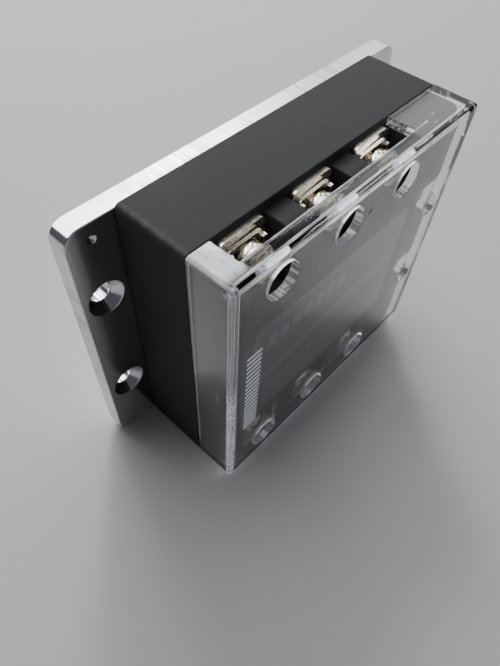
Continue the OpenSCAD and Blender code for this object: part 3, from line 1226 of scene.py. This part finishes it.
@dataclass
class Housing:
    """The black moulding: main block, front block with terminal bays, and its hollow."""

    layout: Layout
    finishes: Finishes
    side_radius: float = 1.3 * MM
    block_radius: float = 3 * MM
    barrier_radius: float = 5 * MM
    broken_edge: float = 0.3 * MM
    wall: float = 2.3 * MM
    boss_depth: float = 10.2 * MM
    rib_groove: float = 1.65 * MM
    slot: float = 1.4 * MM
    slot_gap: float = 0.1 * MM
    power_slot_half: float = 4.1 * MM
    control_slot_half: float = 2.6 * MM

    def build(self) -> None:
        """Models the moulding outside first, then cuts the bays and the hollow."""
        shell = self._main_block()
        Bench.merge(shell, "UNION", [self._front_block()])
        Bench.merge(shell, "DIFFERENCE", [Bench.join(self._bays())])
        Bench.round_edges(shell, self.barrier_radius, 10, self._on_barrier)
        Bench.soften(shell, self.broken_edge, 3)
        hollow = self._hollow()
        cuts = self._seats() + self._slots() + self._grooves()
        Bench.merge(shell, "DIFFERENCE", [hollow, Bench.join(cuts)])
        Bench.shade(shell)
        self.finishes.dress(shell, "housing_black")
        Bench.hand_over(shell, "housing_moulding", "relay", "housing_black", "housing")

    def _main_block(self) -> bpy.types.Object:
        """The block between the plate and the terminals, its four long edges rounded.

        Returns:
            The block.
        """
        low, high = self.layout.housing
        block = Bench.block((low.x, self.layout.step, low.z), high)
        return Bench.round_edges(block, self.side_radius, 6, lambda a, b: runs(a, b, FRONT))

    def _front_block(self) -> bpy.types.Object:
        """The block that fills the cover, its two upright front edges rounded.

        Returns:
            The block.
        """
        plan = self.layout
        low, high = plan.block
        block = Bench.block((low.x, low.y, low.z), (high.x, plan.step + 1 * MM, high.z))
        return Bench.round_edges(block, self.block_radius, 10,
                                 lambda a, b: runs(a, b, UP) and at(a.y, low.y))

    def _bays(self) -> list[bpy.types.Object]:
        """Cutters for the power bays above and below, and for the control bays at the right.

        Returns:
            The cutters.
        """
        plan = self.layout
        low, high = plan.block
        over = 1 * MM
        tools = []
        for (row, _), screw in plan.screws.items():
            x_ends = (screw.x - plan.bay_width / 2, screw.x + plan.bay_width / 2)
            z_ends = (high.z - plan.bay_length, high.z + over)
            if row is Row.LOAD:
                z_ends = (low.z - over, low.z + plan.bay_length)
            if row is Row.CONTROL:
                x_ends = (high.x - plan.control_length, high.x + over)
                z_ends = (screw.z - plan.control_width / 2, screw.z + plan.control_width / 2)
            tools.append(Bench.block((x_ends[0], low.y - over, z_ends[0]),
                                     (x_ends[1], plan.step, z_ends[1])))
        return tools

    def _on_barrier(self, first: Vector, second: Vector) -> bool:
        """True on the upper and lower front edges of the barriers between power bays.

        Args:
            first: One end of an edge.
            second: Its other end.

        Returns:
            Whether the edge is one of them.
        """
        low, high = self.layout.block
        middle = (first.x + second.x) / 2
        inner = self.layout.phase_x(1) < middle < self.layout.phase_x(3)
        return inner and runs(first, second, RIGHT) and at(first.y, low.y) and at(first.z, low.z, high.z)

    def _hollow(self) -> bpy.types.Object:
        """Cutter for the inside, which leaves the screw bosses standing.

        Returns:
            The cutter.
        """
        plan = self.layout
        low, high = plan.housing
        inner = Vector((self.wall, 0, self.wall))
        hollow = Bench.block(Vector((low.x, plan.step + self.wall, low.z)) + inner,
                             Vector((high.x, high.y + 1 * MM, high.z)) - inner)
        front_low, front_high = plan.block
        bay = Vector((0, 0, plan.bay_length))
        near = front_low + Vector((0, self.wall, 0))
        far = Vector((front_high.x - plan.control_length, plan.step + self.wall + 1 * MM, front_high.z))
        deep = Bench.block(near + bay + inner, far - bay - inner)
        Bench.merge(hollow, "UNION", [deep])
        return Bench.merge(hollow, "DIFFERENCE", self._bosses())

    def _bosses(self) -> list[bpy.types.Object]:
        """The blocks behind the tabs that hold the nuts.

        Returns:
            The blocks.
        """
        plan = self.layout
        bosses = []
        for (row, _), screw in plan.screws.items():
            seat = NutSeat.of(row)
            x = screw.x + seat.shift
            near = plan.step + self.wall - 1 * MM
            bosses.append(Bench.block((x - seat.boss, near, screw.z - seat.boss),
                                      (x + seat.boss, plan.step + self.boss_depth, screw.z + seat.boss)))
        return bosses

    def _seats(self) -> list[bpy.types.Object]:
        """Cutters for the nut pockets and the screw holes behind them.

        Returns:
            The cutters.
        """
        plan = self.layout
        near = plan.step - NEAR
        end = plan.step + self.boss_depth - 1 * MM
        tools = []
        for (row, _), screw in plan.screws.items():
            seat = NutSeat.of(row)
            low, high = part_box(seat.nuts)
            deep = plan.step + high.y - low.y + 0.1 * MM
            pocket = Bench.block((screw.x - seat.pocket, near, screw.z - seat.pocket),
                                 (screw.x + seat.pocket, deep, screw.z + seat.pocket))
            hole = Bench.rod((screw.x, near + NEAR / 2, screw.z), (screw.x, end, screw.z), seat.hole)
            tools.append(Bench.merge(pocket, "UNION", [hole]))
        return tools

    def _slots(self) -> list[bpy.types.Object]:
        """Cutters for the slots that the terminals' legs go through.

        Returns:
            The cutters.
        """
        plan = self.layout
        near, far = plan.step - NEAR, plan.step + self.wall + 1 * MM
        tools = []
        for (row, number), screw in plan.screws.items():
            low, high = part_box(f"{row.value}_terminal_{number}")
            if row is Row.CONTROL:
                x = high.x - plan.control_leg - self.slot_gap
                half = self.control_slot_half
                tools.append(Bench.block((x, near, screw.z - half), (x + self.slot, far, screw.z + half)))
                continue
            half = self.power_slot_half
            z = high.z - plan.power_leg - self.slot_gap
            if row is Row.LOAD:
                z = low.z + plan.power_leg + self.slot_gap - self.slot
            tools.append(Bench.block((screw.x - half, near, z), (screw.x + half, far, z + self.slot)))
        return tools

    def _grooves(self) -> list[bpy.types.Object]:
        """Cutters for the cover's guide grooves.

        Returns:
            The cutters.
        """
        plan = self.layout
        low, high = plan.block
        return [Bench.block((high.x - 0.6 * MM, low.y - 1 * MM, z - self.rib_groove),
                            (high.x + 1 * MM, plan.step - NEAR, z + self.rib_groove))
                for z in plan.rib_heights()]


# ---------------------------------------------------------------------- cover


@dataclass
class Cover:
    """The clear snap-on cover over the terminals."""

    layout: Layout
    finishes: Finishes
    outer_radius: float = 0.9 * MM
    inner_radius: float = 0.4 * MM
    broken_edge: float = 0.2 * MM
    proud: float = 0.14 * MM
    driver_radius: float = 4.3 * MM
    small_driver_radius: float = 3.6 * MM
    grip_bars: int = 19
    grip_low: Vector = field(default_factory=lambda: Vector((-36.4, 0, 22.6)) * MM)
    grip_high: Vector = field(default_factory=lambda: Vector((-31.9, 0, 52.4)) * MM)

    def build(self) -> None:
        """Models the cover: shell, wire openings, screwdriver holes, ribs and grips."""
        low, high = self.layout.cover
        shell = Bench.block((low.x, low.y + self.proud, low.z), high)
        Bench.round_edges(shell, self.outer_radius, 6,
                          lambda a, b: not at(a.y, high.y) or not at(b.y, high.y))
        Bench.merge(shell, "DIFFERENCE", [self._inside()])
        Bench.merge(shell, "DIFFERENCE", [Bench.join(self._openings()), Bench.join(self._holes())])
        Bench.soften(shell, self.broken_edge, 3, 45)
        Bench.merge(shell, "UNION", [Bench.join(self._ribs()), Bench.join(self._grips()), self._gate()])
        Bench.shade(shell)
        self.finishes.dress(shell, "cover_clear")
        self._frost(shell)
        Bench.hand_over(shell, "clear_cover", "cover", "cover_clear", "terminal_cover")

    def _inside(self) -> bpy.types.Object:
        """The hollow of the cover, with its inner edges rounded.

        Returns:
            The cutter.
        """
        plan = self.layout
        low, high = plan.cover
        wall = Vector((plan.wall, plan.wall, plan.wall))
        back = high.y + 5 * MM
        core = Bench.block(low + wall, Vector((high.x - plan.wall, back, high.z - plan.wall)))
        return Bench.round_edges(core, self.inner_radius, 4,
                                 lambda a, b: not at(a.y, back) or not at(b.y, back))

    def _openings(self) -> list[bpy.types.Object]:
        """Cutters for the wire openings along the top, the bottom and the right side.

        Returns:
            The cutters.
        """
        plan = self.layout
        low, high = plan.cover
        over = 1 * MM
        deep = plan.wall + over
        near, far = low.y + plan.strip, high.y + over
        start = plan.phase_x(1) - plan.bay_width / 2 - 0.5 * MM
        end = plan.phase_x(3) + plan.bay_width / 2 - 0.5 * MM
        half = (plan.screws[Row.CONTROL, 1].z - plan.screws[Row.CONTROL, 2].z + plan.control_width) / 2
        return [
            Bench.block((start, near, high.z - deep), (end, far, high.z + over)),
            Bench.block((start, near, low.z - over), (end, far, low.z + deep)),
            Bench.block((high.x - deep, near, plan.middle - half),
                        (high.x + over, far, plan.middle + half)),
        ]

    def _holes(self) -> list[bpy.types.Object]:
        """Cutters for the screwdriver holes.

        Returns:
            The cutters.
        """
        plan = self.layout
        over = 1 * MM
        tools = []
        for (row, _), screw in plan.screws.items():
            tools.append(Bench.rod((screw.x, plan.front - over, screw.z),
                                   (screw.x, plan.front + plan.wall + over, screw.z),
                                   self._hole_radius(row), sides=72))
        return tools

    def _ribs(self) -> list[bpy.types.Object]:
        """The guide ribs on the inside of the right end wall.

        Returns:
            The ribs.
        """
        plan = self.layout
        wall = plan.cover[1].x - plan.wall
        ribs = []
        for z in plan.rib_heights():
            rib = Bench.block((wall - 0.5 * MM, plan.front + 4 * MM, z - 1.4 * MM),
                              (wall + 0.6 * MM, plan.step - 1 * MM, z + 1.4 * MM))
            ribs.append(Bench.round_edges(rib, self.broken_edge, 3, lambda a, b: not runs(a, b, RIGHT)))
        return ribs

    def _grips(self) -> list[bpy.types.Object]:
        """A ladder of small raised bars near the left edge of the front.

        Returns:
            The bars.
        """
        front = self.layout.front
        pitch = (self.grip_high.z - self.grip_low.z) / (self.grip_bars - 1)
        half = pitch * 0.17
        bars = []
        for index in range(self.grip_bars):
            z = self.grip_low.z + index * pitch
            bar = Bench.block((self.grip_low.x, front, z - half),
                              (self.grip_high.x, front + 1 * MM, z + half))
            Bench.round_edges(bar, self.proud * 0.8, 3,
                              lambda a, b: runs(a, b, FRONT) or (at(a.y, front) and at(b.y, front)))
            bars.append(bar)
        return bars

    def _gate(self) -> bpy.types.Object:
        """The small mark that the mould's gate left between two holes.

        Returns:
            The mark, as a low disc.
        """
        plan = self.layout
        x = (plan.phase_x(2) + plan.phase_x(3)) / 2 - 3.3 * MM
        z = plan.screws[Row.LINE, 2].z - 0.5 * MM
        return Bench.rod((x, plan.front + NEAR, z), (x, plan.front + 1 * MM, z), 0.8 * MM, 1.4 * MM, 20)

    def _frost(self, shell: bpy.types.Object) -> None:
        """Gives the grips and the walls of the holes their own finishes.

        Args:
            shell: The finished cover.
        """
        plan = self.layout
        for name in ("cover_frosted", "cover_hole_walls"):
            shell.data.materials.append(self.finishes.made[name])
        limit = plan.front + self.proud - NEAR / 2
        for face in shell.data.polygons:
            place = face.center
            if place.y < limit and place.x < self.grip_high.x + NEAR:
                face.material_index = 1
            elif place.y < plan.front + plan.wall and any(
                    math.hypot(place.x - screw.x, place.z - screw.z) < self._hole_radius(row) + 0.12 * MM
                    for (row, _), screw in plan.screws.items()):
                face.material_index = 2

    def _hole_radius(self, row: Row) -> float:
        """Radius of a screwdriver hole of a row."""
        return self.small_driver_radius if row is Row.CONTROL else self.driver_radius


# ------------------------------------------------------------------ terminals


@dataclass(frozen=True)
class TerminalSize:
    """Sizes of one kind of screw terminal."""

    first: tuple[Row, int]
    head: float
    shank: float
    pitch: float
    slot: float
    hole: float
    tab_hole: float

    @property
    def small(self) -> bool:
        """True for the control terminals."""
        return self.first[0] is Row.CONTROL


POWER = TerminalSize((Row.LINE, 1), head=3.2 * MM, shank=1.95 * MM, pitch=0.7 * MM, slot=1.05 * MM,
                     hole=2.05 * MM, tab_hole=2.2 * MM)
SIGNAL = TerminalSize((Row.CONTROL, 1), head=2.6 * MM, shank=1.45 * MM, pitch=0.5 * MM, slot=0.8 * MM,
                      hole=1.55 * MM, tab_hole=1.7 * MM)


@dataclass
class Terminals:
    """Tabs, clamp plates, spring washers and screws, modelled once per size and copied."""

    layout: Layout
    finishes: Finishes
    tab: float = 1.2 * MM
    clamp: float = 0.85 * MM
    lip: float = 1 * MM
    lean: float = 2.0
    turn: float = 6.0
    plain_shank: float = 3.2 * MM
    power_leg_half: float = 4 * MM
    control_leg_half: float = 2.5 * MM
    chance: random.Random = field(default_factory=lambda: random.Random(7))
    patterns: dict[str, dict[str, bpy.types.Object]] = field(default_factory=dict)
    slots: dict[str, str] = field(default_factory=lambda: {
        "terminal": "terminal_nickel", "clamp": "clamp_nickel",
        "spring": "spring_steel", "screw": "screw_nickel"})

    def build(self) -> None:
        """Models the two sizes and places every copy."""
        for (row, number), screw in self.layout.screws.items():
            size = SIGNAL if row is Row.CONTROL else POWER
            for kind, pattern in self._pattern(size).items():
                move = self._move(kind, row, screw, size)
                name = f"{row.value}_{kind}_{number}"
                piece = Bench.copy(pattern, move)
                self.finishes.dress(piece, self.slots[kind])
                body = self._body(kind, row, number)
                Bench.hand_over(piece, f"{name}_made", body, self.slots[kind], name)
        for pattern in self.patterns.values():
            for piece in pattern.values():
                bpy.data.objects.remove(piece, do_unlink=True)

    @staticmethod
    def _body(kind: str, row: Row, number: int) -> str:
        """The body that a piece moves with."""
        moving = {"clamp": "washers", "spring": "washers", "screw": "screw"}
        return f"{row.value}_{moving[kind]}_{number}" if kind in moving else "relay"

    def _pattern(self, size: TerminalSize) -> dict[str, bpy.types.Object]:
        """The pieces of one size, modelled at the first terminal of that size.

        Args:
            size: The size of terminal.

        Returns:
            The pieces by their kind.
        """
        row, number = size.first
        if row.value not in self.patterns:
            screw = self.layout.screws[size.first]
            self.patterns[row.value] = {
                "terminal": self._tab(size, screw),
                "clamp": self._clamp(size, screw),
                "spring": self._spring(size, screw),
                "screw": self._screw(size, screw),
            }
        return self.patterns[row.value]

    def _move(self, kind: str, row: Row, screw: Vector, size: TerminalSize) -> Matrix:
        """Where a copy goes from its pattern: mirrored tabs, and washers that are never quite alike.

        Args:
            kind: The kind of piece.
            row: The row it belongs to.
            screw: Its screw's place.
            size: The size of terminal.

        Returns:
            The move.
        """
        shift = Matrix.Translation(screw - self.layout.screws[size.first])
        if kind == "terminal":
            if row is not Row.LOAD:
                return shift
            middle = UP * self.layout.middle
            flip = Matrix.Translation(middle) @ Matrix.Scale(-1, 4, UP) @ Matrix.Translation(-middle)
            return Matrix.Translation((shift.translation.x, 0, 0)) @ flip
        limits = (-self.turn, self.turn) if kind == "clamp" else (0, 360)
        spin = Matrix.Rotation(math.radians(self.chance.uniform(*limits)), 4, "Y")
        return Matrix.Translation(screw) @ spin @ Matrix.Translation(-screw) @ shift

    def _tab(self, size: TerminalSize, screw: Vector) -> bpy.types.Object:
        """The stamped tab with its leg, which bends back through the housing to a foot.

        Args:
            size: The size of terminal.
            screw: Its screw's place.

        Returns:
            The tab.
        """
        low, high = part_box("control_terminal_1" if size.small else "line_terminal_1")
        near = self.layout.step - self.tab
        skin = 2 * NEAR
        if size.small:
            half = self.control_leg_half
            start = high.x - self.layout.control_leg
            tab = Bench.block((start, near, low.z), (high.x, self.layout.step, high.z))
            leg = Bench.block((start + skin, near + self.tab / 2, screw.z - half),
                              (start + self.tab, high.y - self.tab, screw.z + half))
            foot = Bench.block((low.x, high.y - self.tab, screw.z - half),
                               (start + self.tab, high.y, screw.z + half))
        else:
            half = self.power_leg_half
            start = high.z - self.layout.power_leg
            tab = Bench.block((low.x, near, start), (high.x, self.layout.step, high.z))
            leg = Bench.block((screw.x - half, near + self.tab / 2, start + skin),
                              (screw.x + half, high.y - self.tab, start + self.tab))
            foot = Bench.block((screw.x - half, high.y - self.tab, low.z),
                               (screw.x + half, high.y, start + self.tab))
        Bench.merge(leg, "UNION", [foot])
        Bench.round_edges(tab, 1.5 * MM, 6, lambda a, b: runs(a, b, FRONT))
        reach = Vector((0, 3 * MM, 0))
        middle = Vector((screw.x, self.layout.step, screw.z))
        Bench.merge(tab, "UNION", [leg])
        Bench.merge(tab, "DIFFERENCE", [Bench.rod(middle - reach, middle + reach, size.tab_hole)])
        return Bench.soften(tab, 0.2 * MM, 3)

    def _clamp(self, size: TerminalSize, screw: Vector) -> bpy.types.Object:
        """The clamp plate with two side lips turned to the front, leaning a little.

        Args:
            size: The size of terminal.
            screw: Its screw's place.

        Returns:
            The clamp plate.
        """
        low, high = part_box("control_clamp_1" if size.small else "line_clamp_1")
        near = high.y - self.clamp
        plate = Bench.block((low.x, near, low.z), high)
        Bench.round_edges(plate, 1 * MM, 5, lambda a, b: runs(a, b, FRONT))
        short = Vector((0, 0, 1 * MM))
        for side in (low.x + NEAR, high.x - self.lip - NEAR):
            lip = Bench.block(Vector((side, near - self.lip * 0.8, low.z)) + short,
                              Vector((side + self.lip, high.y - self.clamp / 2, high.z)) - short)
            Bench.merge(plate, "UNION", [lip])
        reach = Vector((0, 3 * MM, 0))
        middle = Vector((screw.x, high.y, screw.z))
        Bench.merge(plate, "DIFFERENCE", [Bench.rod(middle - reach, middle + reach, size.hole)])
        Bench.soften(plate, 0.22 * MM, 3)
        corner = Vector((low.x, high.y, 0))
        lean = Matrix.Rotation(math.radians(-self.lean), 4, "Z")
        plate.data.transform(Matrix.Translation(corner) @ lean @ Matrix.Translation(-corner))
        return plate

    def _spring(self, size: TerminalSize, screw: Vector) -> bpy.types.Object:
        """The split spring washer: a square wire wound almost once round, its ends apart.

        Args:
            size: The size of terminal.
            screw: Its screw's place.

        Returns:
            The spring washer.
        """
        low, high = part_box("control_spring_1" if size.small else "line_spring_1")
        outer = (high.x - low.x) / 2
        room = high.y - low.y
        thick = room * 0.74
        Bench.clear()
        bpy.ops.mesh.primitive_plane_add(size=1, rotation=(math.pi / 2, 0, 0))
        ring = Bench.settle(bpy.context.object)
        ring.data.transform(Matrix.Translation(((size.hole + outer) / 2, 0, thick / 2))
                            @ Matrix.Diagonal((outer - size.hole, 1, thick, 1)))
        Bench.apply(ring, "SCREW", angle=math.radians(343), steps=56, render_steps=56, axis="Z",
                    screw_offset=room - thick, use_merge_vertices=False)
        Bench.edit(ring, "EDGE")
        bpy.ops.mesh.select_non_manifold(extend=False)
        bpy.ops.mesh.edge_face_add()
        Bench.heal(ring)
        seat = Matrix.Translation((screw.x, high.y, screw.z))
        ring.data.transform(seat @ Matrix.Rotation(math.pi / 2, 4, "X"))
        return Bench.soften(ring, 0.12 * MM, 2)

    def _screw(self, size: TerminalSize, screw: Vector) -> bpy.types.Object:
        """The pan-head screw with a cross slot and a threaded shank.

        Args:
            size: The size of terminal.
            screw: Its screw's place.

        Returns:
            The screw.
        """
        low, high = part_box("control_screw_1" if size.small else "line_screw_1")
        radius = (high.x - low.x) / 2
        bar = Bench.lathe(self._profile(size, radius, high.y - low.y - size.head))
        seat = Matrix.Translation((screw.x, low.y + size.head, screw.z))
        bar.data.transform(seat @ Matrix.Rotation(math.pi / 2, 4, "X"))
        crown = Vector((screw.x, low.y, screw.z))
        blades = [self._blade(size, radius, crown, turn) for turn in (0, math.pi / 2)]
        Bench.merge(bar, "DIFFERENCE", blades)
        return Bench.soften(bar, 0.08 * MM, 2, 50)

    def _blade(self, size: TerminalSize, radius: float, crown: Vector, turn: float) -> bpy.types.Object:
        """One of the two tapered cutters of a cross slot.

        Args:
            size: The size of terminal.
            radius: The head's radius.
            crown: The middle of the head's crown.
            turn: The cutter's angle about the screw's axis.

        Returns:
            The cutter.
        """
        long = radius * 0.6
        blade = Bench.block((-long, -1 * MM, -size.slot / 2), (long, size.head * 0.35, size.slot / 2))
        Bench.extrude(blade, -FRONT, size.head * 0.3)
        Bench.select_faces(blade, -FRONT)
        bpy.ops.transform.resize(value=(0.4, 1, 0.6))
        bpy.ops.object.mode_set(mode="OBJECT")
        blade.data.transform(Matrix.Translation(crown) @ Matrix.Rotation(turn, 4, "Y"))
        return blade

    def _profile(self, size: TerminalSize, radius: float, length: float) -> list[tuple[float, float]]:
        """Half outline of a screw, from the crown down to the tip.

        Args:
            size: The size of terminal.
            radius: The head's radius.
            length: Length under the head.

        Returns:
            Pairs of radius and height over the seat.
        """
        side = size.head * 0.34
        crown = size.head - side
        flat = radius * 0.25
        outline = [(0.0, size.head)]
        for step in range(9):
            angle = math.pi / 2 * (1 - step / 8)
            outline.append((flat + (radius - flat) * math.cos(angle), side + crown * math.sin(angle)))
        rim = 0.1 * MM
        outline += [(radius, rim), (radius - rim, 0.0), (size.shank, 0.0), (size.shank, -self.plain_shank)]
        turns = int((length - self.plain_shank - 1 * MM) / size.pitch)
        half = size.pitch / 2
        for turn in range(turns):
            height = -self.plain_shank - turn * size.pitch
            outline += [(size.shank - half, height - half), (size.shank, height - size.pitch)]
        return [*outline, (size.shank * 0.72, -length), (0.0, -length)]


# ---------------------------------------------------------------------- label


@dataclass
class Label:
    """The film on the front of the housing."""

    finishes: Finishes
    corner: float = 1.5 * MM

    def build(self) -> None:
        """Models the film with rounded corners and a soft edge."""
        low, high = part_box("label_panel")
        film = Bench.block(low, high)
        Bench.round_edges(film, self.corner, 8, lambda a, b: runs(a, b, FRONT))
        Bench.round_edges(film, (high.y - low.y) / 3, 2, lambda a, b: at(a.y, low.y) and at(b.y, low.y))
        Bench.shade(film)
        self.finishes.dress(film, "label_film")
        Bench.hand_over(film, "label", "relay", "label_film", "label_panel")


# ------------------------------------------------------------- carried pieces


@dataclass
class CarriedNodes:
    """CAD pieces whose shape is right, which only get a better finish."""

    frame: dict
    finishes: Finishes

    def dress(self) -> None:
        """Gives each shown CAD node the material of its slot."""
        for part in self.frame["record"]["subparts"]:
            node = self.frame["nodes"][part["node"]]
            if not node.hide_render:
                self.finishes.dress(node, part["material_slot"])
                LOG.info("%s: carried over, %s", part["node"], part["material_slot"])


# ---------------------------------------------------------------------- studio


@dataclass
class Studio:
    """Floor, lamps and camera."""

    target: Vector

    def build(self) -> None:
        """Sets up the floor, the lamps, the world and the camera."""
        self._floor()
        self._world()
        self._lamp("window", (0.43, 0.52, 0.68), (0.14, 0.14), 2.4)
        self._lamp("back_left", (0.36, 0.74, 0.62), (0.42, 0.42), 4.4)
        self._lamp("right_wall", (0.95, 0.45, 0.50), (1.10, 0.80), 2.8)
        self._lamp("overhead", (0.08, 0.36, 1.05), (0.7, 0.7), 5.0)
        self._lamp("upper_card", (-0.28, 0.42, 0.92), (0.9, 0.25), 4.2, card=True)
        self._lamp("rear_card", (-0.20, 0.74, 0.64), (0.8, 0.35), 5.0, card=True)
        self._lamp("right_card", (0.62, -0.06, 0.72), (0.7, 0.2), 3.0, card=True)
        self._camera()

    def _floor(self) -> None:
        """A plain pale floor that sweeps far out."""
        Bench.clear()
        bpy.ops.mesh.primitive_plane_add(size=6, location=(0, 0, 0))
        floor = bpy.context.object
        floor.name = "floor"
        tree = ShaderTree("floor_paper")
        grainy = tree.noise(900, 2)
        shade = tree.mix(grainy * 0.2, grey(0.60), grey(0.56))
        floor.data.materials.append(tree.surface(tree.principled(Base_Color=shade, Roughness=0.7)))

    def _world(self) -> None:
        """Even pale light from all round, a little cool."""
        world = bpy.data.worlds.new("studio")
        world.use_nodes = True
        background = world.node_tree.nodes["Background"]
        background.inputs["Color"].default_value = rgb(0.86, 0.90, 1.0)
        background.inputs["Strength"].default_value = 0.10
        bpy.context.scene.world = world

    def _lamp(self, name: str, place: Sequence[float], size: tuple[float, float], power: float,
              card: bool = False) -> None:
        """One oblong soft lamp aimed at the object.

        Args:
            name: The lamp's name.
            place: Where it hangs.
            size: Its sides.
            power: Its power in watts.
            card: True for a card that only shows as a reflection.
        """
        data = bpy.data.lights.new(name, "AREA")
        data.shape = "RECTANGLE"
        data.size, data.size_y = size
        data.energy = power
        lamp = bpy.data.objects.new(name, data)
        lamp.location = place
        lamp.rotation_euler = (self.target - Vector(place)).to_track_quat("-Z", "Y").to_euler()
        lamp.visible_diffuse = not card
        bpy.context.collection.objects.link(lamp)

    def _camera(self) -> None:
        """The camera above the upper left corner, looking down at the front."""
        data = bpy.data.cameras.new("camera")
        data.sensor_width = 36
        data.lens = 29.5
        data.clip_start = 0.005
        camera = bpy.data.objects.new("camera", data)
        right = Vector((0.6801, -0.7321, 0.0389))
        up = Vector((0.5733, 0.5642, 0.5941))
        back = right.cross(up)
        turn = Matrix((right, up, back)).transposed().to_4x4()
        camera.matrix_world = Matrix.Translation((-0.0827, -0.0568, 0.1436)) @ turn
        bpy.context.collection.objects.link(camera)
        bpy.context.scene.camera = camera


def main() -> None:
    """Builds every piece in order around the frame."""
    logging.basicConfig(level=logging.INFO, format="%(name)s: %(message)s")
    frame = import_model()
    layout = Layout.read(frame["record"])
    finishes = Finishes(layout)
    Studio(Vector((0, 0, layout.middle))).build()
    BasePlate(layout, finishes).build()
    Housing(layout, finishes).build()
    Label(finishes).build()
    Terminals(layout, finishes).build()
    Cover(layout, finishes).build()
    CarriedNodes(frame, finishes).dress()


if __name__ == "__main__":
    main()
